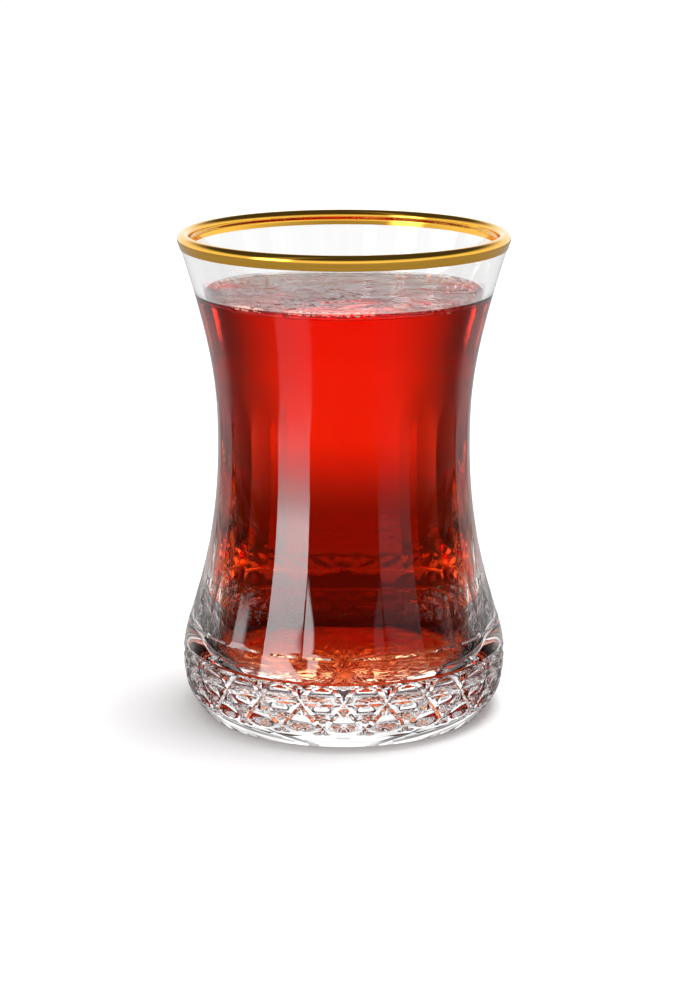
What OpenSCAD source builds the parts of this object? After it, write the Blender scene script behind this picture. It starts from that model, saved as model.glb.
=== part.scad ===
// Turkish tea glass: a waisted glass with a gilded lip, flat flutes and a cut base band, filled with tea.
// Millimetres, +Z up. The origin is the middle of the ring it stands on.

/* [Overall] */
// Height from the table to the top of the gilded lip
height = 90; // [80:0.5:110]
// Outer diameter of the gilded lip
rim_d = 61; // [58:0.5:73]
// Outer diameter at the waist
waist_d = 47; // [40:0.5:50]
// Height of the waist
waist_z = 52; // [44:0.5:58]
// Outer diameter of the belly of the base
belly_d = 60.7; // [56:0.1:72]
// Height of the widest part of the belly
belly_z = 10.8; // [9.5:0.1:12]
// Outer diameter of the ring it stands on
foot_d = 53; // [46:0.5:55]

/* [Wall and cavity] */
// Thickness of the wall below the lip
wall_t = 1.7; // [1.2:0.1:2.2]
// Thickness of the wall at the waist
waist_wall_t = 1.8; // [1.4:0.1:2.4]
// Thickness of the glass floor above the table
floor_z = 8.4; // [7:0.1:10.4]
// Diameter of the cavity where its straight lower part starts
bowl_d = 38.4; // [38:0.2:46]
// Height at which that straight part starts
bowl_z = 28; // [24:0.5:34]
// Diameter of the well at the bottom of the cavity
well_d = 37.4; // [32:0.2:38]
// Height at which the well starts to round in to its floor
well_z = 12; // [11.5:0.1:15]
// Diameter of the flat in the middle of the cavity floor
well_flat_d = 27; // [16:0.5:30]
// Width of the ring it stands on
foot_ring_w = 3.6; // [2:0.1:6]
// Rise of the hollow underside in its middle
punt_h = 1.4; // [0.8:0.1:2.5]

/* [Flutes] */
// Number of flat flutes round the outside
flutes = 24; // [16:1:30]
// Height at which the flutes are full depth at the bottom
flute_low_z = 17.6; // [16.8:0.1:22]
// Height at which the flutes start to run out at the top
flute_high_z = 50; // [44:0.5:54]
// Height at which the flutes have run out
flute_tip_z = 65; // [60:0.5:70]
// Depth that the flutes are cut below their own ridges
flute_extra = 0.06; // [0.04:0.01:0.2]

/* [Base band] */
// Height of the lower edge of the cut pattern
band_low_z = 3.4; // [3:0.1:4.5]
// Height of the groove over the cut pattern
band_high_z = 12.7; // [11.5:0.1:13.5]
// Height of the points where the cuts cross
star_z = 9.3; // [8:0.1:10]
// Depth of the cuts where they cross
cut_depth = 0.7; // [0.3:0.05:1]
// Lean of the slanting cuts from upright, in degrees
cut_lean = 40; // [30:1:50]

/* [Gilding] */
// Height of the gilded band, from its lower edge to the top of the lip
gold_h = 2.7; // [2.2:0.1:4]
// Thickness of the gilding
gold_t = 0.15; // [0.1:0.01:0.25]
// Thickness of the rounded glass lip under the gilding
lip_t = 2; // [1.8:0.05:2.4]

/* [Tea] */
// Height of the surface of the tea above the table
tea_z = 78.5; // [60:0.5:80]

/* [Hidden] */
$fn = 96;

rim_r = rim_d / 2;
waist_r = waist_d / 2;
belly_r = belly_d / 2;
foot_r = foot_d / 2;
bowl_r = bowl_d / 2;
well_r = well_d / 2;
well_flat_r = well_flat_d / 2;

// Steps along one curve of an outline
curve_steps = 10;
// Steps along a short curve
short_steps = 6;
// How far outward the wall leans for each millimetre up, at the lip
flare = 0.31;
// Lean of the foot's side, outward for each millimetre up, where it leaves the table
foot_flare = 0.97;
// Height over which the foot's side keeps that lean
foot_lean_h = 4.2;

// Length of each curve's handle as a share of the curve's own height: the end of it that the name says
foot_top_handle = 0.32;
body_low_handle = 0.176;
body_top_handle = 0.6;
neck_low_handle = 0.225;
neck_top_handle = 0.58;
inner_body_top_handle = 0.4;
inner_body_low_handle = 0.35;
bowl_top_handle = 0.35;
bowl_low_handle = 0.45;
well_side_handle = 0.75;
// The same for the well's floor, as a share of the corner's own width
well_floor_handle = 0.7;

// Height over which the bottom end of a flute turns out to the belly, and how far out it turns
flute_end_h = 2.4;
flute_end_out = 1.9;
// Power by which a flute grows shallower towards its tip
runout_power = 1.5;
// Height kept free of the tip, and the step out of the glass over it
tip_room = 1.5;
tip_step = 0.3;

// How fast the belly's radius falls off below its widest part, per square millimetre
belly_fall = 0.028;
// Half width of a slanting cut for each millimetre of its depth
cut_slope = 1.6;
// Depth of the groove over the cut pattern
ring_groove_depth = 0.4;

// The lip is a round bead; the gilding wraps it and runs a little way down both faces of the wall.
lip_r = lip_t / 2;
lip_centre = [rim_r - lip_r - gold_t, height - lip_r - gold_t];
lip_turn = 30;
gold_low_z = height - gold_h;
neck_r = lip_centre[0] + lip_r * cos(lip_turn) - flare * (lip_centre[1] - lip_r * sin(lip_turn) - gold_low_z);

flute_turn = 360 / flutes;
// Room that a cutting tool leaves beyond the glass
clear = 4;

// A point on the cubic curve from a to d, with handles b and c, at t from 0 to 1
function curve_point(a, b, c, d, t) =
    pow(1 - t, 3) * a + 3 * pow(1 - t, 2) * t * b + 3 * (1 - t) * t * t * c + pow(t, 3) * d;

// The points of that curve without its first one
function curve(a, b, c, d, steps = curve_steps) =
    [for (i = [1:steps]) curve_point(a, b, c, d, i / steps)];

// Outline of the lip, grown by d: up the outside, round the bead and down the inside
function lip_outline(d, steps = 12) = concat(
    [[neck_r + d, gold_low_z]],
    [for (i = [0:steps])
        let (a = -lip_turn + (180 + 2 * lip_turn) * i / steps)
        lip_centre + (lip_r + d) * [cos(a), sin(a)]],
    [[neck_r - wall_t - d, gold_low_z]]);

// Outer face from the table up to the belly, the waist and the neck
foot_pt = [foot_r, 0];
belly_pt = [belly_r, belly_z];
waist_pt = [waist_r, waist_z];
neck_pt = [neck_r, gold_low_z];
function foot_curve() = curve(
    foot_pt, foot_pt + foot_lean_h * [foot_flare, 1],
    belly_pt - [0, foot_top_handle * belly_z], belly_pt, short_steps);
belly_up = body_low_handle * (waist_z - belly_z);
waist_down = body_top_handle * (waist_z - belly_z);
waist_up = neck_low_handle * (gold_low_z - waist_z);
neck_down = neck_top_handle * (gold_low_z - waist_z);
function body_curve(steps = curve_steps) = curve(
    belly_pt, belly_pt + [0, belly_up], waist_pt - [0, waist_down], waist_pt, steps);
function neck_curve(steps = curve_steps) = curve(
    waist_pt, waist_pt + [0, waist_up], neck_pt - neck_down * [flare, 1], neck_pt, steps);

// Face of the cavity from the neck down to its flat floor
inner_neck_pt = [neck_r - wall_t, gold_low_z];
inner_waist_pt = [waist_r - waist_wall_t, waist_z];
bowl_pt = [bowl_r, bowl_z];
well_pt = [well_r, well_z];
well_flat_pt = [well_flat_r, floor_z];
inner_body_h = waist_z - bowl_z;
bowl_h = bowl_z - well_z;
well_h = well_z - floor_z;
function cavity_curve() = concat(
    curve(inner_neck_pt, inner_neck_pt - neck_down * [flare, 1],
        inner_waist_pt + [0, waist_up], inner_waist_pt),
    curve(inner_waist_pt, inner_waist_pt - [0, inner_body_top_handle * inner_body_h],
        bowl_pt + [0, inner_body_low_handle * inner_body_h], bowl_pt, short_steps),
    curve(bowl_pt, bowl_pt - [0, bowl_top_handle * bowl_h],
        well_pt + [0, bowl_low_handle * bowl_h], well_pt, short_steps),
    curve(well_pt, well_pt - [0, well_side_handle * well_h],
        well_flat_pt + [well_floor_handle * (well_r - well_flat_r), 0], well_flat_pt, short_steps),
    [[0, floor_z]]);

// Hollow underside: a shallow arc from the middle out to the standing ring
punt_r = foot_r - foot_ring_w;
punt_ball_r = (punt_r * punt_r + punt_h * punt_h) / (2 * punt_h);
function punt_curve(steps = short_steps) = [for (i = [0:steps])
    let (r = punt_r * i / steps)
    [r, sqrt(punt_ball_r * punt_ball_r - r * r) - punt_ball_r + punt_h]];

// Depth of the flute face under the round body, growing shallower above flute_high_z
ridge_drop = 1 - cos(flute_turn / 2);
function runout(z) = max(0, z - flute_high_z) / (flute_tip_z - flute_high_z);
function flute_depth(p) = (p[0] * ridge_drop + flute_extra) * (1 - pow(runout(p[1]), runout_power));

// Stations up the side; the flute follows the lower ones and leaves the glass at a clear angle after the last
side = concat(body_curve(13), neck_curve(13));
followed = [for (p = side) if (p[1] > flute_low_z && p[1] < flute_tip_z - tip_room) p];
beyond = [for (p = side) if (p[1] > flute_tip_z + tip_room) p];
flute_face = concat(
    [for (p = followed) [p[0] - flute_depth(p), p[1]]],
    [beyond[0] + [tip_step, 0]]);

// Side view of the tool that cuts one flute
module flute_tool() {
    low = flute_face[0];
    top = flute_face[len(flute_face) - 1];
    far = belly_r + clear;
    rotate([90, 0, 0])
        linear_extrude(height = 3 * clear, center = true)
            polygon(concat(
                [[far, low[1] - flute_end_h], [low[0] + flute_end_out, low[1] - flute_end_h]],
                flute_face,
                [[far, top[1]]]));
}

// Radius of the belly at height z, near enough for placing the cuts
function band_r(z) = belly_r - belly_fall * pow(max(0, belly_z - z), 2);

// One slanting V cut through a crossing point; side is 1 or -1
module slanting_cut(side) {
    reach = (band_high_z - band_low_z) / cos(cut_lean) / 2;
    mid_z = (band_high_z + band_low_z) / 2;
    shift = side * (star_z - mid_z) * tan(cut_lean);
    mid_r = band_r(mid_z);
    dip = atan((band_r(band_high_z) - band_r(band_low_z)) / (band_high_z - band_low_z));
    rotate([0, 0, -shift / mid_r * 180 / PI])
        translate([mid_r - cut_depth, 0, mid_z])
            rotate([0, dip / 2, 0])
                rotate([side * cut_lean, 0, 0])
                    linear_extrude(height = 2 * reach, center = true)
                        polygon([[0, 0], [clear, cut_slope * clear], [clear, -cut_slope * clear]]);
}

// A V groove right round the glass at height z
module ring_groove(z, depth) {
    r = band_r(z);
    rotate_extrude()
        polygon([[r - depth, z], [r + clear, z - clear - depth], [r + clear, z + clear + depth]]);
}

module cavity() {
    rotate_extrude()
        polygon(concat([[0, gold_low_z], inner_neck_pt], cavity_curve()));
}

module glass_blank() {
    rotate_extrude()
        polygon(concat(
            punt_curve(), [foot_pt], foot_curve(), body_curve(), neck_curve(),
            lip_outline(0), cavity_curve()));
}

module glass() {
    color("gainsboro", 0.4)
        difference() {
            glass_blank();
            for (k = [0:flutes - 1])
                rotate([0, 0, (k + 0.5) * flute_turn])
                    flute_tool();
            for (k = [0:flutes - 1])
                rotate([0, 0, k * flute_turn]) {
                    slanting_cut(1);
                    slanting_cut(-1);
                }
            ring_groove(band_high_z, ring_groove_depth);
        }
}

module gold_rim() {
    inside = lip_outline(0);
    last = len(inside) - 1;
    color("goldenrod")
        rotate_extrude()
            polygon(concat(lip_outline(gold_t), [for (i = [0:last]) inside[last - i]]));
}

module tea() {
    color("firebrick")
        intersection() {
            cavity();
            cylinder(r = rim_r, h = tea_z);
        }
}

glass();
gold_rim();
tea();
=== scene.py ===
"""A waisted turkish tea glass with a gilded lip, flat flutes and a cut base band, filled with black tea."""

import logging
import math
import random
from dataclasses import dataclass, field
from enum import Enum
from typing import Any, Callable, Optional, Sequence

import bmesh
import bpy
from mathutils import Matrix, Vector


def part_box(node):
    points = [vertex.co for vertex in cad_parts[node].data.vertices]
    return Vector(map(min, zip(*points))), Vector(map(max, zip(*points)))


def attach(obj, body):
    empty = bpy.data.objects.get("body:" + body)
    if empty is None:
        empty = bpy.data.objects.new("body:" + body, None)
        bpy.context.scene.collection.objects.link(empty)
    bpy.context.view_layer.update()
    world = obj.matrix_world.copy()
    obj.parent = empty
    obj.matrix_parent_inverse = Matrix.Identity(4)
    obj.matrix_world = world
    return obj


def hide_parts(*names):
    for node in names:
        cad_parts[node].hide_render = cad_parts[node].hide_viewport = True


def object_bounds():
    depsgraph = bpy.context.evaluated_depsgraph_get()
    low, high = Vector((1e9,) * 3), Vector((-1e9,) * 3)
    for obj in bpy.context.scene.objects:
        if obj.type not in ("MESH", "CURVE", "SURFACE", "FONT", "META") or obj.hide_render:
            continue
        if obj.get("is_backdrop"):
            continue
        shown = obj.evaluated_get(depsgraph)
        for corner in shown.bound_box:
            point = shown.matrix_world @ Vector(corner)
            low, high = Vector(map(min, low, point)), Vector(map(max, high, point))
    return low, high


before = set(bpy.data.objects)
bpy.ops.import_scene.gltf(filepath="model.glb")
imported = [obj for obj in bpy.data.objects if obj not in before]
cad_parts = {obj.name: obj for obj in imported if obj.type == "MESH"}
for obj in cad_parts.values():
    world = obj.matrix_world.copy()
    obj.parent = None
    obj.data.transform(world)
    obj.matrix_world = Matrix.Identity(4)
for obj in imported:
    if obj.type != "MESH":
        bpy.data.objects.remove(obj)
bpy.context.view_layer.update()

LOG = logging.getLogger("tea_glass")
MM = 0.001


Point = tuple[float, float]
Fade = tuple[float, float, float, float]
Socket = bpy.types.NodeSocket

# Nodes of the light field that are not sums: their kinds and settings.
FIELD_NODES = {
    "FADE": ("ShaderNodeMapRange", {"interpolation_type": "SMOOTHSTEP"}),
    "MIX": ("ShaderNodeMix", {}),
}


class Slot(Enum):
    """Names of the material slots."""

    GLASS = "clear_glass"
    GILDING = "gilding"
    TEA = "tea"


# ---------------------------------------------------------------- small helpers


def linear(hex_code: str, alpha: float = 1.0) -> tuple[float, float, float, float]:
    """Turn an sRGB hex colour into linear RGBA.

    Args:
        hex_code: Six hex digits, with or without a leading #.
        alpha: The fourth value of the result.

    Returns:
        Linear red, green and blue, and alpha.
    """
    digits = hex_code.lstrip("#")
    parts = [int(digits[i:i + 2], 16) / 255 for i in (0, 2, 4)]
    red, green, blue = [p / 12.92 if p <= 0.04045 else ((p + 0.055) / 1.055) ** 2.4 for p in parts]
    return red, green, blue, alpha


def add_node(
    tree: bpy.types.NodeTree,
    kind: str,
    settings: Optional[dict[Any, Any]] = None,
    links: Optional[dict[Any, Any]] = None,
) -> bpy.types.Node:
    """Add a node with its settings and links.

    Args:
        tree: The tree it goes in.
        kind: Blender's name for the kind of node.
        settings: Values by the name of a property, or by the name or index of an input.
        links: Sockets to link from, or plain numbers, by the name or index of an input.

    Returns:
        The new node.
    """
    node = tree.nodes.new(kind)
    for name, value in (settings or {}).items():
        if isinstance(name, str) and name in node.bl_rna.properties:
            setattr(node, name, value)
        else:
            node.inputs[name].default_value = value
    for name, source in (links or {}).items():
        if isinstance(source, bpy.types.NodeSocket):
            tree.links.new(source, node.inputs[name])
        else:
            node.inputs[name].default_value = source
    return node


def new_material(name: str) -> tuple[bpy.types.Material, bpy.types.NodeTree]:
    """Make a material whose tree has no nodes yet."""
    material = bpy.data.materials.new(name)
    material.use_nodes = True
    material.node_tree.nodes.clear()
    return material, material.node_tree


def mix_by(low: float, high: float, share: float) -> float:
    """Return the value that lies share of the way from low to high."""
    return low + (high - low) * share


def smooth_step(value: float) -> float:
    """Return 0 below 0, 1 above 1 and a smooth rise between them."""
    held = min(1.0, max(0.0, value))
    return held * held * (3 - 2 * held)


# ---------------------------------------------------------------- outline of the glass


@dataclass(frozen=True)
class Curve:
    """A cubic curve in the half-plane of radius and height, in millimetres."""

    start: Point
    handle_out: Point
    handle_in: Point
    end: Point

    def at(self, share: float) -> Point:
        """Return the point at a share of the curve, from 0 to 1."""
        rest = 1 - share
        weights = (rest ** 3, 3 * rest * rest * share, 3 * rest * share * share, share ** 3)
        corners = (self.start, self.handle_out, self.handle_in, self.end)
        radius, height = (sum(w * c[i] for w, c in zip(weights, corners)) for i in (0, 1))
        return radius, height

    def share_at(self, height: float) -> float:
        """Return the share of the curve at a height, on a curve whose height only rises or only falls."""
        rising = self.end[1] > self.start[1]
        low, high = 0.0, 1.0
        for _ in range(40):
            middle = (low + high) / 2
            if (self.at(middle)[1] < height) == rising:
                low = middle
            else:
                high = middle
        return (low + high) / 2

    def part(self, low: float, high: float) -> Callable[[float], Point]:
        """Return a path that runs over the shares from low to high."""
        return lambda t: self.at(mix_by(low, high, t))


@dataclass(frozen=True)
class Outline:
    """The turned outline of the glass, in millimetres, from its driving sizes."""

    height: float
    rim_r: float
    gold_low: float
    belly_r: float
    floor_z: float
    tea_z: float
    waist_r: float = 23.5
    waist_z: float = 52.0
    belly_z: float = 10.8
    foot_r: float = 26.5
    foot_ring: float = 3.6
    punt_h: float = 1.4
    wall: float = 1.7
    waist_wall: float = 1.8
    bowl_r: float = 19.2
    bowl_z: float = 28.0
    well_r: float = 18.7
    well_z: float = 12.0
    well_flat_r: float = 13.5
    lip_r: float = 1.0
    gilding: float = 0.15
    flare: float = 0.31
    foot_flare: float = 0.97
    lip_turn: float = math.radians(30)
    lip_straight: float = 0.12
    foot_lean: float = 4.2
    belly_pull: float = 0.68
    # How far each curve's two handles reach, as shares of its height, or of its width where it ends level.
    body_pull: Point = (0.176, 0.6)
    neck_pull: Point = (0.225, 0.58)
    inner_body_pull: Point = (0.4, 0.35)
    bowl_pull: Point = (0.35, 0.45)
    well_pull: Point = (0.75, 0.7)
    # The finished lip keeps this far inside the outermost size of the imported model.
    inside: float = 0.005

    @classmethod
    def from_frame(cls) -> "Outline":
        """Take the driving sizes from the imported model."""
        low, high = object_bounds()
        gold_low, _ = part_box("gold_rim")
        _, glass_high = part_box("glass")
        tea_low, tea_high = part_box("tea")
        return cls(
            height=(high.z - low.z) / MM,
            rim_r=min(-low.x, high.x, -low.y, high.y) / MM - cls.inside,
            gold_low=gold_low.z / MM,
            belly_r=glass_high.x / MM,
            floor_z=tea_low.z / MM,
            tea_z=tea_high.z / MM,
        )

    @property
    def lip_centre(self) -> Point:
        """Middle of the round bead at the lip."""
        reach = self.lip_r + self.gilding
        return self.rim_r - reach, self.height - reach

    @property
    def neck(self) -> Point:
        """Outer face at the lower edge of the gilding."""
        radius, height = self.lip_centre
        rise = height - self.lip_r * math.sin(self.lip_turn) - self.gold_low
        return radius + self.lip_r * math.cos(self.lip_turn) - self.flare * rise, self.gold_low

    def lip(self, grown: float, share: float) -> Point:
        """Return a point round the lip.

        Args:
            grown: How far out from the bare glass, in millimetres.
            share: 0 at the outer neck, 1 at the inner neck.

        Returns:
            Radius and height.
        """
        straight = self.lip_straight
        outer = self.neck[0] + grown, self.gold_low
        inner = self.neck[0] - self.wall - grown, self.gold_low
        turned = (share - straight) / (1 - 2 * straight)
        angle = -self.lip_turn + (math.pi + 2 * self.lip_turn) * min(1.0, max(0.0, turned))
        reach = self.lip_r + grown
        bead = (
            self.lip_centre[0] + reach * math.cos(angle),
            self.lip_centre[1] + reach * math.sin(angle),
        )
        near = min(1.0, share / straight, (1 - share) / straight)
        side = outer if share < 0.5 else inner
        return mix_by(side[0], bead[0], near), mix_by(side[1], bead[1], near)

    @property
    def foot_curve(self) -> Curve:
        """Outer face from the table up to the belly."""
        foot, belly = (self.foot_r, 0.0), (self.belly_r, self.belly_z)
        out = foot[0] + self.foot_lean * self.foot_flare, self.foot_lean
        return Curve(foot, out, (belly[0], self.belly_pull * belly[1]), belly)

    @property
    def body_curve(self) -> Curve:
        """Outer face from the belly up to the waist."""
        span = self.waist_z - self.belly_z
        return Curve(
            (self.belly_r, self.belly_z), (self.belly_r, self.belly_z + self.body_pull[0] * span),
            (self.waist_r, self.waist_z - self.body_pull[1] * span), (self.waist_r, self.waist_z),
        )

    def neck_between(self, waist_r: float, neck_r: float) -> Curve:
        """Return the face from a waist radius up to a neck radius."""
        span = self.gold_low - self.waist_z
        down = self.neck_pull[1] * span
        return Curve(
            (waist_r, self.waist_z), (waist_r, self.waist_z + self.neck_pull[0] * span),
            (neck_r - down * self.flare, self.gold_low - down), (neck_r, self.gold_low),
        )

    @property
    def neck_curve(self) -> Curve:
        """Outer face from the waist up to the gilding."""
        return self.neck_between(self.waist_r, self.neck[0])

    @property
    def inner_neck_curve(self) -> Curve:
        """Inner face from the waist up to the gilding."""
        return self.neck_between(self.waist_r - self.waist_wall, self.neck[0] - self.wall)

    @property
    def inner_body_curve(self) -> Curve:
        """Inner face from the waist down to the start of the rounded bottom."""
        inner_waist = self.waist_r - self.waist_wall
        span = self.waist_z - self.bowl_z
        return Curve(
            (inner_waist, self.waist_z), (inner_waist, self.waist_z - self.inner_body_pull[0] * span),
            (self.bowl_r, self.bowl_z + self.inner_body_pull[1] * span), (self.bowl_r, self.bowl_z),
        )

    @property
    def bowl_curve(self) -> Curve:
        """Inner face where the cavity narrows to its well."""
        span = self.bowl_z - self.well_z
        return Curve(
            (self.bowl_r, self.bowl_z), (self.bowl_r, self.bowl_z - self.bowl_pull[0] * span),
            (self.well_r, self.well_z + self.bowl_pull[1] * span), (self.well_r, self.well_z),
        )

    @property
    def well_curve(self) -> Curve:
        """Inner face round the bottom of the well, down to its flat."""
        span = self.well_z - self.floor_z
        across = self.well_r - self.well_flat_r
        return Curve(
            (self.well_r, self.well_z), (self.well_r, self.well_z - self.well_pull[0] * span),
            (self.well_flat_r + self.well_pull[1] * across, self.floor_z),
            (self.well_flat_r, self.floor_z),
        )

    def punt(self, share: float) -> Point:
        """Return a point on the hollow underside, from its middle at 0 to the standing ring at 1."""
        edge = self.foot_r - self.foot_ring
        ball = (edge ** 2 + self.punt_h ** 2) / (2 * self.punt_h)
        radius = edge * share
        return radius, math.sqrt(ball ** 2 - radius ** 2) - ball + self.punt_h

    def outer_radius(self, height: float) -> float:
        """Return the radius of the round outer face at a height above the table."""
        if height <= self.belly_z:
            curve = self.foot_curve
        elif height <= self.waist_z:
            curve = self.body_curve
        else:
            curve = self.neck_curve
        return curve.at(curve.share_at(height))[0]


# ---------------------------------------------------------------- cuts in the outer face


@dataclass(frozen=True)
class Groove:
    """One straight V cut in the band, laid flat: x runs round the glass and z up it, in millimetres."""

    x: float
    z: float
    lean: float
    depth: float
    half_width: float
    low: float
    high: float
    fade: float = 0.7

    @property
    def across(self) -> Point:
        """Unit vector square to the groove."""
        return math.cos(self.lean), -math.sin(self.lean)

    def offset(self, x: float, z: float) -> float:
        """Return how far a point is from the groove's middle line."""
        return (x - self.x) * self.across[0] + (z - self.z) * self.across[1]

    def depth_at(self, x: float, z: float) -> float:
        """Return how deep the groove cuts at a point."""
        ends = min(z - self.low, self.high - z) / self.fade
        wall = 1 - abs(self.offset(x, z)) / self.half_width
        return self.depth * max(0.0, wall) * min(1.0, max(0.0, ends))


@dataclass(frozen=True)
class CutBand:
    """The cut pattern of the base: crossing V cuts that make stars, with hollow ovals between them."""

    low: float = 3.4
    high: float = 12.7
    star_z: float = 9.3
    lean: float = math.radians(40)
    depth: float = 0.26
    half_width: float = 0.75
    oval_z: float = 11.0
    oval_size: Point = (3.0, 1.5)
    oval_depth: float = 0.45
    low_oval_mid_z: float = 7.2
    low_oval_side_z: float = 5.4
    low_oval_size: Point = (2.1, 1.8)
    low_oval_depth: float = 0.36
    over: float = 2.0
    fine_width: float = 0.6
    ring_depth: float = 0.6
    upright_depth: float = 0.7
    top_half_width: float = 0.55
    top_fade: float = 0.1
    lean_start: float = 0.3
    upright_start: float = 1.0

    @property
    def top_groove(self) -> Groove:
        """The groove that runs round the glass over the band."""
        return Groove(
            0, self.high, math.pi / 2, self.upright_depth * self.depth, self.top_half_width, self.low,
            self.high + self.over, fade=self.top_fade,
        )

    def grooves(self, width: float) -> list[Groove]:
        """List the grooves that cross one cell of the pattern.

        Args:
            width: Width of the cell round the glass, in millimetres.

        Returns:
            The grooves, each with its place in the flat cell.
        """
        fine, top = self.half_width * self.fine_width, self.high + self.over
        found = [Groove(0, self.star_z, math.pi / 2, self.ring_depth * self.depth, fine, -self.over, top)]
        for lean in (-self.lean, self.lean):
            for x in (0.0, width):
                found.append(Groove(
                    x, self.star_z, lean, self.depth, self.half_width, self.low - self.lean_start, top,
                ))
        for x in (0.0, width):
            found.append(Groove(
                x, self.star_z, 0, self.upright_depth * self.depth, fine, self.low + self.upright_start,
                self.high,
            ))
        return [*found, self.top_groove]

    def ovals(self, x: float, z: float, width: float) -> float:
        """Return the depth of the hollow ovals at a point of the flat cell.

        Args:
            x: Place across the cell, in millimetres.
            z: Height, in millimetres.
            width: Width of the cell.

        Returns:
            The depth of the wide oval between two stars, or of a round one below.
        """
        wide = math.hypot((x - width / 2) / self.oval_size[0], (z - self.oval_z) / self.oval_size[1])
        depth = self.oval_depth * max(0.0, 1 - wide * wide)
        side_z = self.low_oval_side_z
        for middle, height in ((width / 2, self.low_oval_mid_z), (0, side_z), (width, side_z)):
            across = (x - middle) / self.low_oval_size[0]
            small = math.hypot(across, (z - height) / self.low_oval_size[1])
            depth = max(depth, self.low_oval_depth * max(0.0, 1 - small * small))
        return depth


@dataclass(frozen=True)
class Flutes:
    """Slightly crowned flutes up the outside, from over the band to points under the neck."""

    count: int = 24
    low: float = 17.6
    low_run: float = 2.4
    low_rise: float = 1.5
    high: float = 50.0
    tip: float = 65.0
    taper: float = 1.5
    extra: float = 0.06
    crown: float = 0.3

    @property
    def turn(self) -> float:
        """Angle of one flute."""
        return 2 * math.pi / self.count

    def radius(self, angle: float, radius: float, height: float) -> float:
        """Return the radius of the cut face.

        Args:
            angle: Angle from the middle of the flute.
            radius: Radius of the round face at this height.
            height: Height above the table, in millimetres.

        Returns:
            The round face's radius, or the flute's where that is less.
        """
        gone = max(0.0, height - self.high) / (self.tip - self.high)
        depth = (radius * (1 - math.cos(self.turn / 2)) + self.extra) * (1 - gone ** self.taper)
        depth -= max(0.0, self.low - height) / self.low_run * self.low_rise
        flat = (radius - depth) / math.cos(angle)
        round_off = (radius - depth) / math.cos(self.turn / 2) - flat
        return min(radius, flat + self.crown * round_off)


# ---------------------------------------------------------------- finishes


@dataclass(frozen=True)
class PressedGlass:
    """Soda-lime glass, pressed in a mould and fire-polished: clear, hard-edged, with a slight ripple."""

    name: str = "pressed_soda_lime_glass"
    colour: str = "#FFFFFF"
    mirror: float = 1.0
    ior: float = 1.5
    ripple_mm: float = 9.0
    ripple_depth: float = 0.004 * MM

    def build(self) -> bpy.types.Material:
        """Make the material."""
        material, tree = new_material(self.name)
        place = add_node(tree, "ShaderNodeTexCoord")
        # The mould's chill leaves a ripple as wide as a thumbnail, which bends what is seen through it.
        ripple = add_node(
            tree, "ShaderNodeTexNoise",
            {"Scale": 1 / (self.ripple_mm * MM), "Detail": 2.0, "Roughness": 0.4},
            {"Vector": place.outputs["Object"]},
        )
        bump = add_node(
            tree, "ShaderNodeBump", {"Strength": 1.0, "Distance": self.ripple_depth},
            {"Height": ripple.outputs[0]},
        )
        shader = add_node(
            tree, "ShaderNodeBsdfPrincipled",
            {
                "Base Color": linear(self.colour), "Roughness": 0.0, "IOR": self.ior,
                "Specular Tint": (self.mirror, self.mirror, self.mirror, 1.0),
                "Transmission Weight": 1.0,
            },
            {"Normal": bump.outputs["Normal"]},
        )
        add_node(tree, "ShaderNodeOutputMaterial", {}, {"Surface": shader.outputs[0]})
        return material


@dataclass(frozen=True)
class BurnishedGilding:
    """Gold fired on glass and burnished: a bright mirror with faint marks of the banding brush."""

    name: str = "burnished_gilding"
    colour: str = "#F2BE4E"
    worn: str = "#DFA23A"
    roughness: float = 0.1
    brush_mm: float = 0.35

    def build(self) -> bpy.types.Material:
        """Make the material."""
        material, tree = new_material(self.name)
        place = add_node(tree, "ShaderNodeTexCoord")
        # The brush turns with the glass, so its marks are fine up the lip and long round it.
        stretched = add_node(
            tree, "ShaderNodeMapping", {"Scale": (0.04, 0.04, 1.0)},
            {"Vector": place.outputs["Object"]},
        )
        brush = add_node(
            tree, "ShaderNodeTexNoise",
            {"Scale": 1 / (self.brush_mm * MM), "Detail": 3.0},
            {"Vector": stretched.outputs[0]},
        )
        tint = add_node(
            tree, "ShaderNodeMix",
            {"data_type": "RGBA", 6: linear(self.colour), 7: linear(self.worn)},
            {0: brush.outputs[0]},
        )
        gloss = add_node(
            tree, "ShaderNodeMapRange",
            {"To Min": self.roughness * 0.6, "To Max": self.roughness * 1.4},
            {"Value": brush.outputs[0]},
        )
        shader = add_node(
            tree, "ShaderNodeBsdfPrincipled", {"Metallic": 1.0},
            {"Base Color": tint.outputs[2], "Roughness": gloss.outputs[0]},
        )
        add_node(tree, "ShaderNodeOutputMaterial", {}, {"Surface": shader.outputs[0]})
        return material


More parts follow.
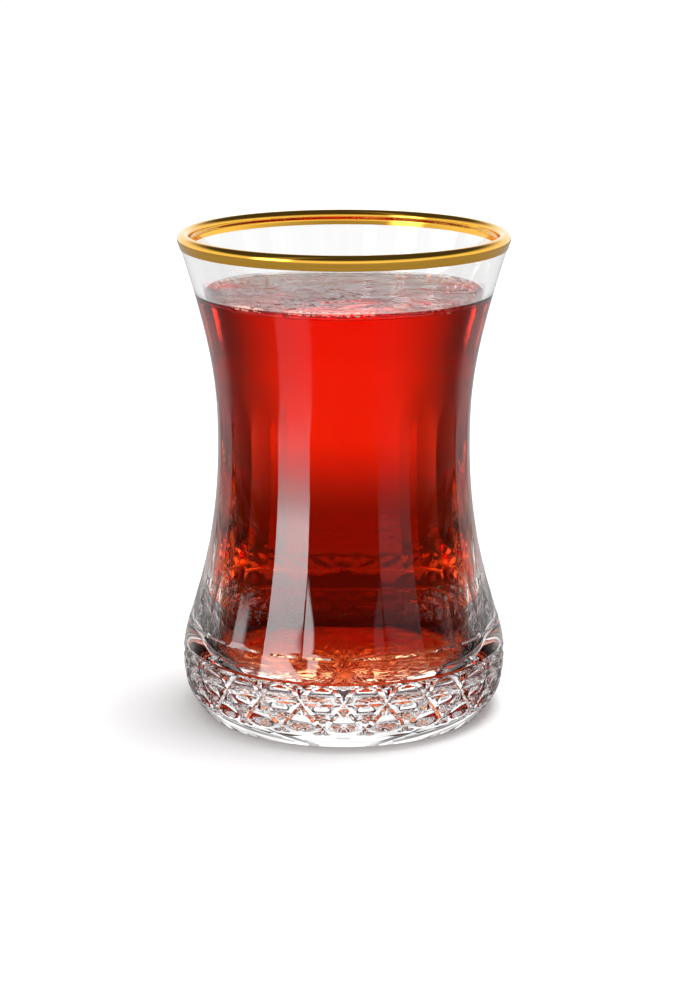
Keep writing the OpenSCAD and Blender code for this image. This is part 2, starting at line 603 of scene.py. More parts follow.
@dataclass(frozen=True)
class BrewedTea:
    """Strong clear black tea: red where the light comes through, near black where it is deep."""

    name: str = "brewed_black_tea"
    ior: float = 1.333
    keeps: tuple[float, float, float] = (0.9855, 0.447, 0.026)
    density: float = 190.0
    wet_mirror: float = 0.06
    shine_starts: float = 0.2 * MM
    shine_full: float = 0.05 * MM
    wave_mm: float = 9.0
    wave_depth: float = 1.3 * MM

    def build(self, level: float) -> bpy.types.Material:
        """Make the material.

        Args:
            level: Height of the tea's surface, in metres.

        Returns:
            The material.
        """
        material, tree = new_material(self.name)
        place = add_node(tree, "ShaderNodeTexCoord")
        height = add_node(tree, "ShaderNodeSeparateXYZ", {}, {0: place.outputs["Object"]})
        # Where tea wets glass hardly any light is mirrored, so only the open surface shines.
        shine = add_node(
            tree, "ShaderNodeMapRange",
            {
                "From Min": level - self.shine_starts, "From Max": level - self.shine_full,
                "To Min": self.wet_mirror, "To Max": 1.0,
            },
            {"Value": height.outputs[2]},
        )
        # A poured glass is never still: slow swirls crease its open surface into bright and dark bands.
        waves = add_node(
            tree, "ShaderNodeTexNoise",
            {"Scale": 1 / (self.wave_mm * MM), "Detail": 3.0, "Roughness": 0.5, "Distortion": 1.2},
            {"Vector": place.outputs["Object"]},
        )
        open_waves = add_node(
            tree, "ShaderNodeMath", {"operation": "MULTIPLY"}, {0: waves.outputs[0], 1: shine.outputs[0]},
        )
        swell = add_node(
            tree, "ShaderNodeBump", {"Strength": 1.0, "Distance": self.wave_depth},
            {"Height": open_waves.outputs[0]},
        )
        shader = add_node(
            tree, "ShaderNodeBsdfPrincipled",
            {"Base Color": (1, 1, 1, 1), "Roughness": 0.0, "IOR": self.ior, "Transmission Weight": 1.0},
            {"Specular Tint": shine.outputs[0], "Normal": swell.outputs["Normal"]},
        )
        depth = add_node(
            tree, "ShaderNodeVolumeAbsorption", {"Color": (*self.keeps, 1.0), "Density": self.density},
        )
        add_node(
            tree, "ShaderNodeOutputMaterial", {},
            {"Surface": shader.outputs[0], "Volume": depth.outputs[0]},
        )
        return material


@dataclass(frozen=True)
class TeaFroth:
    """The skins of small bubbles on hot tea: thin wet films, pale with a blush painted in for the red light
    of the tea below, and with a painted glow.
    """

    name: str = "tea_froth_film"
    colour: str = "#FFE9DF"
    # Strength of the painted glow, which stands in for the light a real film scatters.
    painted_glow: float = 0.4
    roughness: float = 0.12
    edge_width: float = 0.6
    ior: float = 1.333

    def build(self) -> bpy.types.Material:
        """Make the material."""
        material, tree = new_material(self.name)
        # A film shows mostly at its edge, as a pale ring round a clear middle; the ring carries a painted
        # glow that stands in for the little light the film scatters.
        edge = add_node(tree, "ShaderNodeLayerWeight", {"Blend": self.edge_width})
        film = add_node(
            tree, "ShaderNodeBsdfPrincipled",
            {
                "Base Color": linear(self.colour), "Roughness": self.roughness, "IOR": self.ior,
                "Emission Color": linear(self.colour), "Emission Strength": self.painted_glow,
            },
        )
        clear = add_node(tree, "ShaderNodeBsdfTransparent", {"Color": linear(self.colour)})
        both = add_node(
            tree, "ShaderNodeMixShader", {},
            {0: edge.outputs["Facing"], 1: clear.outputs[0], 2: film.outputs[0]},
        )
        add_node(tree, "ShaderNodeOutputMaterial", {}, {"Surface": both.outputs[0]})
        return material


# ---------------------------------------------------------------- pieces


def finish_piece(
    mesh_maker: bmesh.types.BMesh, name: str, materials: Sequence[bpy.types.Material],
    sharp: float = math.radians(35),
) -> bpy.types.Object:
    """Turn a bmesh in millimetres into a smooth-shaded piece in metres that rides on the part.

    Args:
        mesh_maker: The bmesh, which is freed.
        name: The piece's name.
        materials: Its finishes, by the bmesh's material indices.
        sharp: Edges that turn by more than this stay crisp.

    Returns:
        The piece.
    """
    bmesh.ops.recalc_face_normals(mesh_maker, faces=mesh_maker.faces[:])
    bmesh.ops.scale(mesh_maker, vec=(MM, MM, MM), verts=mesh_maker.verts[:])
    mesh = bpy.data.meshes.new(name)
    mesh_maker.to_mesh(mesh)
    mesh_maker.free()
    mesh.polygons.foreach_set("use_smooth", [True] * len(mesh.polygons))
    mesh.set_sharp_from_angle(angle=sharp)
    for material in materials:
        mesh.materials.append(material)
    piece = bpy.data.objects.new(name, mesh)
    bpy.context.scene.collection.objects.link(piece)
    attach(piece, "root")
    return piece


def turned(points: Sequence[Point], columns: int, closed: bool) -> bmesh.types.BMesh:
    """Spin an outline right round the axis.

    Args:
        points: The outline, in millimetres of radius and height.
        columns: Steps of the full turn.
        closed: Whether the outline's last point joins its first.

    Returns:
        A bmesh of the turned skin.
    """
    maker = bmesh.new()
    chain = [maker.verts.new((radius, 0.0, height)) for radius, height in points]
    pairs = list(zip(chain, chain[1:]))
    if closed:
        pairs.append((chain[-1], chain[0]))
    edges = [maker.edges.new(pair) for pair in pairs]
    bmesh.ops.spin(
        maker, geom=chain + edges, cent=(0, 0, 0), axis=(0, 0, 1), dvec=(0, 0, 0),
        angle=2 * math.pi, steps=columns, use_merge=True, use_duplicate=False,
    )
    bmesh.ops.remove_doubles(maker, verts=maker.verts[:], dist=1e-4)
    return maker


class Relief(Enum):
    """What is cut or pressed into a stretch of the glass."""

    NONE = "none"
    ROSETTE = "rosette"
    BAND = "band"
    FLUTES = "flutes"


class Touch(Enum):
    """What the face touches, as the index of its finish."""

    AIR = 0
    TEA = 1
    TEA_ON_FLOOR = 2


@dataclass(frozen=True)
class Stretch:
    """A stretch of the glass's face: its path, its rows of mesh, its relief and what touches it."""

    path: Callable[[float], Point]
    rows: int
    relief: Relief = Relief.NONE
    touch: Touch = Touch.AIR


@dataclass
class GlassBody:
    """The whole glass as one skin: a flat cell is cut, rolled round the outline, then repeated all round."""

    outline: Outline
    band: CutBand = field(default_factory=CutBand)
    flutes: Flutes = field(default_factory=Flutes)
    finish: PressedGlass = field(default_factory=PressedGlass)
    wet_finish: PressedGlass = PressedGlass(name="tea_wetted_glass", mirror=0.06)
    floor_finish: PressedGlass = PressedGlass(
        name="tea_wetted_pressed_floor", mirror=0.06, ripple_mm=8.0, ripple_depth=0.6 * MM,
    )
    wet_top: float = 79.4
    rosette_ring: float = 5.5
    rosette_rise: float = 0.35
    rosette_start: float = 6.0
    rosette_end: float = 2.0
    columns: int = 12
    ridge_share: float = 0.03
    band_rows: int = 40
    shoulder_z: float = 18.5
    sharp: float = math.radians(11.5)

    def stretches(self) -> list[Stretch]:
        """List the face's stretches, from the middle of the underside over the lip to the cavity floor."""
        line, band = self.outline, self.band
        foot, body, neck = line.foot_curve, line.body_curve, line.neck_curve
        ring_in, ring_out = line.punt(1.0), foot.start
        low, flat = foot.share_at(band.low), line.well_curve.end
        shoulder = body.share_at(self.shoulder_z)
        inner = line.inner_neck_curve
        wet = inner.share_at(self.wet_top)
        return [
            Stretch(line.punt, 24, Relief.ROSETTE),
            Stretch(lambda t: (mix_by(ring_in[0], ring_out[0], t), 0.0), 3),
            Stretch(foot.part(0.0, low), 8),
            Stretch(self.band_path, self.band_rows, Relief.BAND),
            Stretch(body.part(body.share_at(band.high), shoulder), 20, Relief.FLUTES),
            Stretch(body.part(shoulder, 1.0), 32, Relief.FLUTES),
            Stretch(neck.part(0.0, 1.0), 30, Relief.FLUTES),
            Stretch(lambda t: line.lip(0.0, t), 24),
            Stretch(inner.part(1.0, wet), 6),
            Stretch(inner.part(wet, 0.0), 14, touch=Touch.TEA),
            Stretch(line.inner_body_curve.part(0.0, 1.0), 12, touch=Touch.TEA),
            Stretch(line.bowl_curve.part(0.0, 1.0), 12, touch=Touch.TEA),
            Stretch(line.well_curve.part(0.0, 1.0), 12, touch=Touch.TEA_ON_FLOOR),
            Stretch(lambda t: (flat[0] * (1 - t), flat[1]), 3, touch=Touch.TEA_ON_FLOOR),
        ]

    def band_path(self, share: float) -> Point:
        """Return a point of the band, whose rows are evenly spaced in height."""
        height = mix_by(self.band.low, self.band.high, share)
        return self.outline.outer_radius(height), height

    @property
    def row_mm(self) -> float:
        """Height of one row of the band."""
        return (self.band.high - self.band.low) / self.band_rows

    @property
    def cell_mm(self) -> float:
        """Width of one cell round the belly."""
        return self.flutes.turn * self.outline.belly_r

    def flat_cell(self, rows: int, band_start: float) -> bmesh.types.BMesh:
        """Make one flat cell, with its edges already along the grooves' middles and borders.

        Args:
            rows: Rows of the whole cell.
            band_start: How far up the flat cell the band starts, in millimetres.

        Returns:
            A flat grid, x round the glass and y up its face.
        """
        maker = bmesh.new()
        bmesh.ops.create_grid(maker, x_segments=self.columns, y_segments=rows, size=0.5)
        bmesh.ops.translate(maker, vec=(0.5, 0.5, 0), verts=maker.verts[:])
        bmesh.ops.scale(maker, vec=(self.cell_mm, rows * self.row_mm, 1), verts=maker.verts[:])
        # Two more columns close to the ridge give it its fire-polished roundness.
        for share in (self.ridge_share, 1 - self.ridge_share):
            bmesh.ops.bisect_plane(
                maker, geom=[*maker.verts, *maker.edges, *maker.faces], dist=1e-4,
                plane_co=(share * self.cell_mm, 0, 0), plane_no=(1, 0, 0),
            )
        lift = band_start - self.band.low
        for groove in self.band.grooves(self.cell_mm):
            for shift in (-groove.half_width, 0.0, groove.half_width):
                self.cut_along(maker, groove, shift, lift)
        return maker

    def cut_along(self, maker: bmesh.types.BMesh, groove: Groove, shift: float, lift: float) -> None:
        """Cut the flat cell's faces along one line of a groove.

        Args:
            maker: The flat cell.
            groove: The groove.
            shift: How far the line is from the groove's middle.
            lift: What to add to a height to find its place up the flat cell.
        """
        low, high = max(groove.low, self.band.low) + lift, min(groove.high, self.band.high) + lift
        faces = [f for f in maker.faces if low <= f.calc_center_median().y <= high]
        edges = {e for f in faces for e in f.edges}
        verts = {v for f in faces for v in f.verts}
        across = Vector((groove.across[0], groove.across[1], 0))
        middle = Vector((groove.x, groove.z + lift, 0)) + across * shift
        bmesh.ops.bisect_plane(
            maker, geom=[*faces, *edges, *verts], dist=0.02, plane_co=middle, plane_no=across,
        )

    def stretch_at(self, up: float, stretches: Sequence[Stretch]) -> tuple[Stretch, float]:
        """Find where a height of the flat cell lies.

        Args:
            up: Height in the flat cell, in millimetres.
            stretches: The stretches of the face.

        Returns:
            The stretch, and how far along it the place is, from 0 to 1.
        """
        row = up / self.row_mm
        index = 0
        while index < len(stretches) - 1 and row > stretches[index].rows + 1e-6:
            row -= stretches[index].rows
            index += 1
        return stretches[index], min(1.0, max(0.0, row / stretches[index].rows))

    def place(self, flat: Vector, stretches: Sequence[Stretch]) -> Vector:
        """Roll one point of the flat cell onto the glass.

        Args:
            flat: The point in the flat cell.
            stretches: The stretches of the face.

        Returns:
            Its place in the model, in millimetres.
        """
        stretch, along = self.stretch_at(flat.y, stretches)
        radius, height = stretch.path(along)
        share = flat.x / self.cell_mm
        if stretch.relief is Relief.ROSETTE:
            height += self.rosette(share, radius)
        elif stretch.relief is Relief.BAND:
            radius -= self.band_depth(flat.x, height)
        elif stretch.relief is Relief.FLUTES:
            radius = self.flutes.radius((share - 0.5) * self.flutes.turn, radius, height)
            radius -= self.band.top_groove.depth_at(flat.x, height)
        angle = share * self.flutes.turn
        return Vector((radius * math.cos(angle), radius * math.sin(angle), height))

    def rosette(self, share: float, radius: float) -> float:
        """Return how far the rosette under the base rises into the glass.

        Args:
            share: Place across one cell, from 0 to 1.
            radius: Distance from the axis, in millimetres.

        Returns:
            The rise, in millimetres.
        """
        ring = 2 * math.pi * radius / self.rosette_ring
        petals = math.cos(2 * math.pi * share) * math.cos(ring)
        edge = self.outline.punt(1.0)[0]
        inside = smooth_step(radius / self.rosette_start) * smooth_step((edge - radius) / self.rosette_end)
        return self.rosette_rise * (1 + petals) / 2 * inside

    def band_depth(self, x: float, z: float) -> float:
        """Return how deep the pattern is cut at a point of the flat cell."""
        cuts = [g.depth_at(x, z) for g in self.band.grooves(self.cell_mm)]
        return max(*cuts, self.band.ovals(x, z, self.cell_mm))

    def build(self) -> bpy.types.Object:
        """Make the glass."""
        stretches = self.stretches()
        rows = sum(s.rows for s in stretches)
        reliefs = [s.relief for s in stretches]
        band_start = sum(s.rows for s in stretches[:reliefs.index(Relief.BAND)]) * self.row_mm
        maker = self.flat_cell(rows, band_start)
        for face in maker.faces:
            stretch, _ = self.stretch_at(face.calc_center_median().y, stretches)
            face.material_index = stretch.touch.value
        for vert in maker.verts:
            vert.co = self.place(vert.co, stretches)
        turn = self.flutes.turn
        bmesh.ops.spin(
            maker, geom=[*maker.verts, *maker.edges, *maker.faces], cent=(0, 0, 0), axis=(0, 0, 1),
            dvec=(0, 0, 0), angle=turn * (self.flutes.count - 1), steps=self.flutes.count - 1,
            use_merge=False, use_duplicate=True,
        )
        bmesh.ops.remove_doubles(maker, verts=maker.verts[:], dist=2e-4)
        piece = finish_piece(
            maker, "glass_body",
            [self.finish.build(), self.wet_finish.build(), self.floor_finish.build()],
            sharp=self.sharp,
        )
        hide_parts("glass")
        return piece


@dataclass
class GiltLip:
    """The gilding wrapped over the lip."""

    outline: Outline
    finish: BurnishedGilding = field(default_factory=BurnishedGilding)
    columns: int = 288
    rows: int = 36

    def build(self) -> bpy.types.Object:
        """Make the gilding."""
        shares = [i / self.rows for i in range(self.rows + 1)]
        outer = [self.outline.lip(self.outline.gilding, t) for t in shares]
        inner = [self.outline.lip(0.01, t) for t in reversed(shares)]
        maker = turned(outer + inner, self.columns, closed=True)
        piece = finish_piece(maker, "gilt_lip", [self.finish.build()])
        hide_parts("gold_rim")
        return piece


@dataclass
class TeaFill:
    """The tea, which reaches just into the wall and climbs it a little at its edge."""

    outline: Outline
    finish: BrewedTea = field(default_factory=BrewedTea)
    reach: float = 0.06
    climb: float = 0.9
    climb_width: float = 3.2
    climb_power: float = 2.4
    columns: int = 288
    rows: int = 16
    rim_rows: int = 20
    rim_power: float = 1.5
    middle_rows: int = 8

    def surface(self, radius: float, edge: float) -> float:
        """Return the height of the tea's surface at a radius, with the edge of the tea at another."""
        near = max(0.0, 1 - (edge - radius) / self.climb_width)
        return self.outline.tea_z + self.climb * near ** self.climb_power

    def profile_edge(self) -> float:
        """Return the radius of the tea's open surface."""
        neck = self.outline.inner_neck_curve
        return neck.at(neck.share_at(self.outline.tea_z + self.climb))[0]

    def profile(self) -> list[Point]:
        """List the tea's outline, from the middle of its floor round to the middle of its surface."""
        line, reach, rows = self.outline, self.reach, self.rows
        neck = line.inner_neck_curve
        full = neck.share_at(line.tea_z + self.climb)
        face = [line.well_curve.at(1 - i / rows) for i in range(rows)]
        face += [line.bowl_curve.at(1 - i / rows) for i in range(rows + 1)]
        face += [line.inner_body_curve.at(1 - i / rows) for i in range(1, rows + 1)]
        face += [neck.at(full * i / rows) for i in range(1, rows + 1)]
        walls = [(r + reach, z - (reach if z < line.bowl_z else 0)) for r, z in face]
        edge = walls[-1][0]
        steps = [i / self.rim_rows for i in range(1, self.rim_rows + 1)]
        rim = [edge - self.climb_width * step ** self.rim_power for step in steps]
        middle = [rim[-1] * (1 - i / self.middle_rows) for i in range(1, self.middle_rows + 1)]
        return [(0.0, walls[0][1])] + walls + [(r, self.surface(r, edge)) for r in rim + middle]

    def build(self) -> bpy.types.Object:
        """Make the tea."""
        maker = turned(self.profile(), self.columns, closed=False)
        material = self.finish.build(self.outline.tea_z * MM)
        piece = finish_piece(maker, "tea_fill", [material])
        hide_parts("tea")
        return piece


@dataclass(frozen=True)
class BubbleRun:
    """A run of bubbles along the wall, from one angle to another in degrees, with sizes in millimetres."""

    start: float
    end: float
    count: int
    from_wall: Point
    size: Point


@dataclass
class Froth:
    """The bubbles that gather near the wall, where the tea meets the glass."""

    tea: TeaFill
    finish: TeaFroth = field(default_factory=TeaFroth)
    runs: tuple[BubbleRun, ...] = (
        BubbleRun(-112, -78, 60, (0.0, 0.5), (0.16, 0.42)),
        BubbleRun(-138, -124, 26, (0.0, 0.5), (0.16, 0.4)),
        BubbleRun(-64, -40, 10, (0.0, 0.4), (0.12, 0.25)),
        BubbleRun(30, 64, 34, (0.5, 3.4), (0.16, 0.4)),
        BubbleRun(-6, 26, 22, (0.6, 6.5), (0.14, 0.34)),
        BubbleRun(100, 172, 26, (0.4, 1.6), (0.12, 0.3)),
    )
    lift: float = 0.7
    seed: int = 7
    size_power: float = 2
    wall_power: float = 1.6

    def build(self) -> bpy.types.Object:
        """Make the bubbles."""
        chance = random.Random(self.seed)
        maker = bmesh.new()
        edge = self.tea.profile_edge()
        for run in self.runs:
            for _ in range(run.count):
                size = mix_by(*run.size, chance.random() ** self.size_power)
                radius = edge - size - mix_by(*run.from_wall, chance.random() ** self.wall_power)
                angle = math.radians(mix_by(run.start, run.end, chance.random()))
                height = self.tea.surface(radius, edge) + size * self.lift
                place = Vector((radius * math.cos(angle), radius * math.sin(angle), height))
                bmesh.ops.create_icosphere(
                    maker, subdivisions=2, radius=size, matrix=Matrix.Translation(place),
                )
        return finish_piece(maker, "froth_bubbles", [self.finish.build()], sharp=math.pi)


# ---------------------------------------------------------------- studio


def rise_at(edge: float, blur: float) -> Fade:
    """Return a fade from dark to bright across an edge."""
    return edge - blur, edge + blur, 0.0, 1.0


def fall_at(edge: float, blur: float) -> Fade:
    """Return a fade from bright to dark across an edge."""
    return edge - blur, edge + blur, 1.0, 0.0


@dataclass
class LightField:
    """What surrounds the glass, as a strength for each direction round it.

    The field is painted on the sky, by direction, and on the floor, by place, and each kind of ray finds
    its own light there. Light that comes through the glass starts from a bright sheet behind it and is dim
    beside it, which gives the tea its deep edges. Light that the glass mirrors comes from a tall soft box
    on the left and a weak one on the right. The gilding mirrors one bright spot. A fade gives the two
    levels it runs between and its value at each.
    """

    tree: bpy.types.NodeTree
    on_floor: bool
    white: float = 1.03
    dome: float = 0.93
    # Light that comes through the glass.
    clear_depth: float = 4.5
    wide_floor: Fade = (0.035, 0.09, 0.0, 0.95)
    wide_sky: Fade = (0.05, 0.15, 0.95, 0.0)
    sheet: Fade = (math.radians(4), math.radians(31), 1.0, 0.12)
    sides: Fade = (math.radians(62), math.radians(85), 0.0, 0.85)
    streak_count: float = 22.0
    streak: Fade = (0.5, 0.95, 0.0, 2.2)
    streaks_start: Fade = (math.radians(30), math.radians(40), 0.0, 1.0)
    streaks_end: Fade = (math.radians(48), math.radians(58), 1.0, 0.0)
    streaks_floor: Fade = (0.12, 0.3, 1.0, 0.0)
    streaks_sky: Fade = (0.0, 0.12, 0.0, 1.0)
    high_light: Fade = (0.12, 0.3, 0.0, 0.9)
    cloud_scale: float = 7.0
    cloud: Fade = (0.4, 0.58, 0.6, 1.0)
    cloud_rise: Fade = (0.1, 0.28, 1.0, 1.8)
    no_cloud: Fade = (0.08, 0.14, 1.0, 0.0)
    zenith: Fade = (0.36, 0.56, 1.0, 0.1)
    far_floor: Fade = (0.02, 0.24, 0.02, 1.0)
    under: Fade = (0.014, 0.024, 2.8, 0.0)
    front: Fade = (-0.034, -0.024, 0.5, 0.0)
    front_reach: Fade = (0.045, 0.07, 1.0, 0.0)
    # Light that the glass mirrors.
    virtual_back: float = 17 * MM
    left: Fade = (-0.1, 0.1, 1.0, 0.05)
    box_middle: float = math.radians(45.5)
    box_half: float = math.radians(15.5)
    box_blur: float = math.radians(1.5)
    lean_levels: Point = (0.05, 0.3)
    lean_in: float = math.radians(44.5)
    box_floor: Fade = (0.08, 0.55, 0.25, 9.5)
    box_sky: Fade = (-0.05, 0.3, 9.5, 7.6)
    strip_start: float = math.radians(77)
    strip_end: Fade = (math.radians(92), math.radians(100), 1.0, 0.0)
    slit_start: Fade = (0.1, 0.4, math.radians(16.6) + 0.05, math.radians(16.6))
    slit_end: float = math.radians(26)
    slim_rise: Fade = (0.08, 0.2, 0.0, 1.0)
    back_floor: Fade = (math.radians(112), math.radians(130), 0.0, 0.5)
    back_sky: Fade = (math.radians(100), math.radians(120), 0.0, 1.0)
    back_rise: Fade = (0.0, 0.15, 0.5, 1.8)
    # Light that the gilding mirrors.
    gilt_floor: Fade = (-0.6, -0.1, 1.3, 0.45)
    gilt_turn: float = 2.25
    gilt_spot: Fade = (0.12, 0.3, 6.0, 1.25)
    gilt_top: Fade = (0.25, 0.6, 1.0, 0.06)

    def add(self, kind: str, *inputs: Any) -> Socket:
        """Add a node of the field.

        Args:
            kind: A key of FIELD_NODES, or the name of a sum.
            inputs: Sockets or numbers for its inputs, in order, with None for one that is not used.

        Returns:
            Its first output.
        """
        name, settings = FIELD_NODES.get(kind, ("ShaderNodeMath", {"operation": kind}))
        links = {i: v for i, v in enumerate(inputs) if v is not None}
        return add_node(self.tree, name, settings, links).outputs[0]

    def between(self, first: Socket, rise: Fade, second: Socket, fall: Fade) -> Socket:
        """Return one fade times another, which is bright between the two."""
        return self.add("MULTIPLY", self.add("FADE", first, *rise), self.add("FADE", second, *fall))

    def place(self) -> tuple[Socket, ...]:
        """Return the three coordinates of the place on the floor, or of the direction in the sky."""
        if self.on_floor:
            place = add_node(self.tree, "ShaderNodeNewGeometry").outputs["Position"]
        else:
            place = add_node(self.tree, "ShaderNodeTexCoord").outputs["Generated"]
        return tuple(add_node(self.tree, "ShaderNodeSeparateXYZ", {}, {0: place}).outputs)

    def strength(self) -> Socket:
        """Return the strength of the field for each kind of ray."""
        x, y, z = self.place()
        across = self.add("MULTIPLY", x, x)
        back = self.add("MULTIPLY", y, y)
        reach = self.add("SQRT", self.add("ADD", across, back))
        ray = add_node(self.tree, "ShaderNodeLightPath").outputs
        gloss = self.add(
            "MIX", ray["Is Singular Ray"], None, self.gilding_light(x, y, z), self.mirrored(x, y, z, reach),
        )
        lit = self.add("MIX", ray["Is Diffuse Ray"], None, gloss, self.dome)
        # Light that meets no tea crosses at most four faces of glass, and clear glass stays clear.
        meets_tea = self.add("GREATER_THAN", ray["Transmission Depth"], self.clear_depth)
        tinted = self.through(x, y, z, reach)
        if self.on_floor:
            wide = self.add("FADE", reach, *self.wide_floor)
        else:
            wide = self.add("FADE", z, *self.wide_sky)
        clear = self.add("MAXIMUM", tinted, wide)
        seen = self.add("MIX", meets_tea, None, clear, tinted)
        through = self.add("MIX", ray["Is Transmission Ray"], None, lit, seen)
        return self.add("MIX", ray["Is Camera Ray"], None, through, self.white)

    def through(self, x: Any, y: Any, z: Any, reach: Any) -> Socket:
        """Return the light that comes through the glass.

        Args:
            x: Coordinate to the right, as a socket.
            y: Coordinate to the back.
            z: Height.
            reach: Distance from the axis.

        Returns:
            Its strength.
        """
        turn = self.add("ABSOLUTE", self.add("ARCTAN2", x, y))
        lobe = self.add("FADE", turn, *self.sheet)
        sides = self.add("FADE", turn, *self.sides)
        light = self.add("MAXIMUM", lobe, sides)
        wave = self.add("SINE", self.add("MULTIPLY", turn, self.streak_count))
        held = self.between(turn, self.streaks_start, turn, self.streaks_end)
        streak = self.add("FADE", wave, *self.streak)
        streaks = self.add("MULTIPLY", streak, held)
        if self.on_floor:
            near = self.add("FADE", reach, *self.streaks_floor)
        else:
            near = self.add("FADE", z, *self.streaks_sky)
        light = self.add("MAXIMUM", light, self.add("MULTIPLY", streaks, near))
        return self.through_floor(light, y, reach) if self.on_floor else self.through_sky(light, z)

    def through_floor(self, light: Any, y: Any, reach: Any) -> Socket:
        """Return the light through the glass from the floor: a painted shadow of the glass close by, but a
        painted pool of light under the base.
        """
        far = self.add("FADE", reach, *self.far_floor)
        # The under and front fades paint a pool of light beneath the base; far paints the glass's shadow
        # round it.
        under = self.add("FADE", reach, *self.under)
        front = self.between(y, self.front, reach, self.front_reach)
        under = self.add("MAXIMUM", under, front)
        return self.add("MAXIMUM", self.add("MULTIPLY", light, far), under)

    def through_sky(self, light: Any, z: Any) -> Socket:
        """Return the light through the glass from the sky: bright and mottled high up, dark overhead."""
        high = self.add("FADE", z, *self.high_light)
        light = self.add("MAXIMUM", light, high)
        noise = add_node(self.tree, "ShaderNodeTexNoise", {"Scale": self.cloud_scale, "Detail": 2.0})
        mottled = self.between(z, self.cloud_rise, noise.outputs[0], self.cloud)
        plain = self.add("FADE", z, *self.no_cloud)
        mottled = self.add("MAXIMUM", mottled, plain)
        light = self.add("MULTIPLY", light, mottled)
        return self.add("MULTIPLY", light, self.add("FADE", z, *self.zenith))

    def mirrored(self, x: Any, y: Any, z: Any, reach: Any) -> Socket:
        """Return the light that the glass mirrors.

        Args:
            x: Coordinate to the right, as a socket.
            y: Coordinate to the back.
            z: Height.
            reach: Distance from the axis.

        Returns:
            Its strength.
        """
        front = self.add("ADD", y, self.virtual_back if self.on_floor else 0.0)
        front = self.add("MULTIPLY", front, -1.0)
        turn = self.add("ARCTAN2", x, front)
        wide = self.add("ABSOLUTE", turn)
        side = self.add("FADE", turn, *self.left)
        inner = self.box_middle - self.box_half
        if self.on_floor:
            box = self.soft_box(wide, inner)
            tall = self.add("FADE", reach, *self.box_floor)
            sheet = self.add("FADE", wide, *self.back_floor)
        else:
            leaning = self.add("FADE", z, *self.lean_levels, inner, self.lean_in)
            slim = self.slim_boxes(wide, z)
            box = self.add("MAXIMUM", self.soft_box(wide, leaning), slim)
            tall = self.add("FADE", z, *self.box_sky)
            sheet = self.between(wide, self.back_sky, z, self.back_rise)
        boxes = self.add("MULTIPLY", self.add("MULTIPLY", box, side), tall)
        return self.add("ADD", boxes, sheet)

    def soft_box(self, wide: Any, inner: Any) -> Socket:
        """Return the shape of the tall soft box, from its inner edge to its outer one."""
        blur, outer = self.box_blur, self.box_middle + self.box_half
        from_inner = self.add("SUBTRACT", wide, inner)
        return self.between(from_inner, rise_at(0.0, blur), wide, fall_at(outer, blur))

    def slim_boxes(self, wide: Any, z: Any) -> Socket:
        """Return the strip at the side and the slit in front, which start above the floor."""
        blur = self.box_blur / 2
        strip = self.between(wide, rise_at(self.strip_start, blur), wide, self.strip_end)
        slit_from = self.add("SUBTRACT", wide, self.add("FADE", z, *self.slit_start))
        slit = self.between(slit_from, rise_at(0.0, blur / 2), wide, fall_at(self.slit_end, blur))
        return self.add("MULTIPLY", self.add("ADD", strip, slit), self.add("FADE", z, *self.slim_rise))

    def gilding_light(self, x: Any, y: Any, z: Any) -> Socket:
        """Return the light that the gilding mirrors."""
        if self.on_floor:
            return self.add("FADE", y, *self.gilt_floor)
        spread = self.add("ABSOLUTE", self.add("ADD", self.add("ARCTAN2", x, y), self.gilt_turn))
        return self.between(spread, self.gilt_spot, z, self.gilt_top)


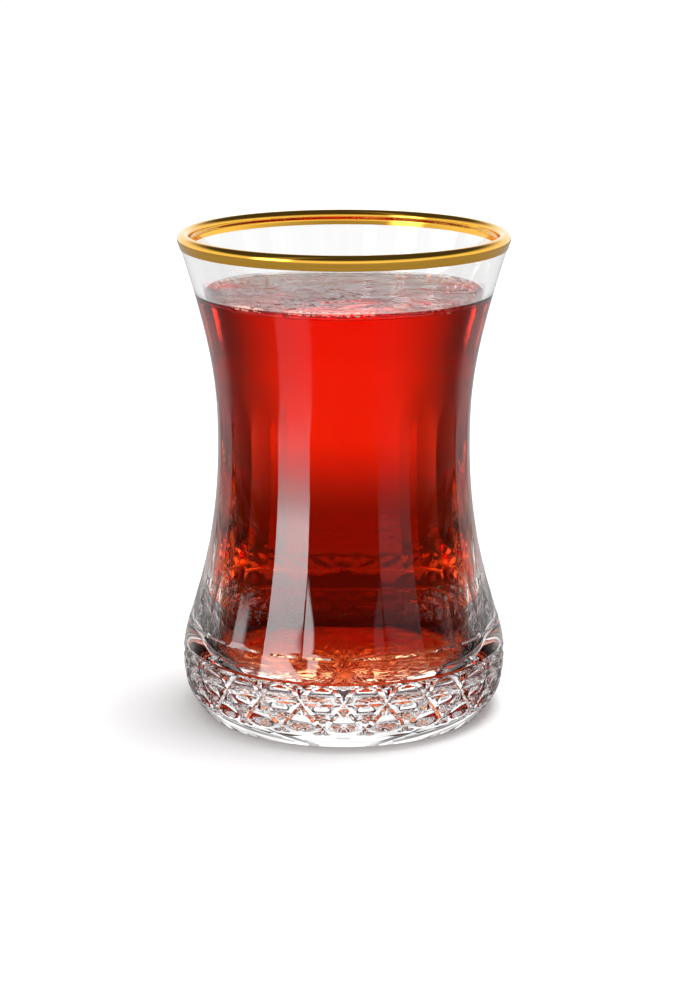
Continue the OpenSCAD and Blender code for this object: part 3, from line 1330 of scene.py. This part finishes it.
@dataclass
class Studio:
    """A pale floor, soft light and the camera."""

    outline: Outline
    floor_half: float = 1.0
    camera_back: float = 455.4 * MM
    camera_up: float = 155.3 * MM
    camera_pitch: float = math.radians(14.37)
    camera_aim_left: float = math.radians(0.0914)
    lens: float = 89.57
    sensor: float = 36.0
    paper: tuple[float, float, float, float] = (0.98, 0.98, 0.98, 1.0)
    lamp_size: float = 0.6
    lamp_energy: float = 8.5
    lamp_at: tuple[float, float, float] = (0.24, 0.1, 1.25)
    clear_bounces: int = 24
    gloss_bounces: int = 8

    def build(self) -> None:
        """Make the whole studio."""
        self.add_floor()
        self.add_world()
        self.add_lamp()
        self.add_camera()
        self.set_view()

    def add_floor(self) -> None:
        """Make the floor, which the camera sees as a seamless pale sheet with a soft shadow, and which every
        other ray sees glowing with the painted light field.
        """
        maker = bmesh.new()
        bmesh.ops.create_grid(maker, x_segments=2, y_segments=2, size=self.floor_half)
        mesh = bpy.data.meshes.new("studio_floor")
        maker.to_mesh(mesh)
        maker.free()
        material, tree = new_material("white_paper_with_painted_light")
        paper = add_node(tree, "ShaderNodeBsdfDiffuse", {"Color": self.paper})
        # Every ray but the camera's sees the floor glow with the painted light field instead of the lit
        # paper.
        painted_glow = add_node(
            tree, "ShaderNodeEmission", {}, {"Strength": LightField(tree, on_floor=True).strength()}
        )
        seen = add_node(tree, "ShaderNodeLightPath")
        both = add_node(
            tree, "ShaderNodeMixShader", {},
            {0: seen.outputs["Is Camera Ray"], 1: painted_glow.outputs[0], 2: paper.outputs[0]},
        )
        add_node(tree, "ShaderNodeOutputMaterial", {}, {"Surface": both.outputs[0]})
        mesh.materials.append(material)
        floor = bpy.data.objects.new("studio_floor", mesh)
        bpy.context.scene.collection.objects.link(floor)
        floor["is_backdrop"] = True

    def add_world(self) -> None:
        """Make the sky."""
        world = bpy.data.worlds.new("soft_studio")
        bpy.context.scene.world = world
        world.use_nodes = True
        tree = world.node_tree
        tree.nodes.clear()
        sky = add_node(
            tree, "ShaderNodeBackground", {"Color": (1.0, 1.0, 1.0, 1.0)},
            {"Strength": LightField(tree, on_floor=False).strength()},
        )
        add_node(tree, "ShaderNodeOutputWorld", {}, {"Surface": sky.outputs[0]})

    def add_lamp(self) -> None:
        """Hang the wide lamp on the right, which casts the soft shadow to the left."""
        data = bpy.data.lights.new("shadow_lamp", "AREA")
        data.shape = "DISK"
        data.size = self.lamp_size
        data.energy = self.lamp_energy
        lamp = bpy.data.objects.new("shadow_lamp", data)
        lamp.location = self.lamp_at
        lamp.rotation_euler = (-lamp.location).to_track_quat("-Z", "Y").to_euler()
        lamp.visible_glossy = False
        lamp.visible_transmission = False
        bpy.context.scene.collection.objects.link(lamp)

    def add_camera(self) -> None:
        """Place the camera in front of the glass, a little above it."""
        data = bpy.data.cameras.new("camera")
        data.lens = self.lens
        data.sensor_width = self.sensor
        data.clip_end = 50.0
        camera = bpy.data.objects.new("camera", data)
        camera.location = (0.0, -self.camera_back, self.camera_up)
        camera.rotation_euler = (math.pi / 2 - self.camera_pitch, 0.0, self.camera_aim_left)
        bpy.context.scene.collection.objects.link(camera)
        bpy.context.scene.camera = camera

    def set_view(self) -> None:
        """Show colours as they are, and let light pass through every wall of glass and tea."""
        scene = bpy.context.scene
        scene.view_settings.view_transform = "Standard"
        scene.cycles.max_bounces = self.clear_bounces
        scene.cycles.transmission_bounces = self.clear_bounces
        scene.cycles.glossy_bounces = self.gloss_bounces
        scene.cycles.use_denoising = True


def main() -> None:
    """Build the glass, its gilding and its tea, then the studio round them."""
    logging.basicConfig(level=logging.INFO, format="%(message)s")
    outline = Outline.from_frame()
    tea = TeaFill(outline)
    for maker in (GlassBody(outline), GiltLip(outline), tea, Froth(tea)):
        piece = maker.build()
        LOG.info("%s: %d faces", piece.name, len(piece.data.polygons))
    Studio(outline).build()


if __name__ == "__main__":
    main()
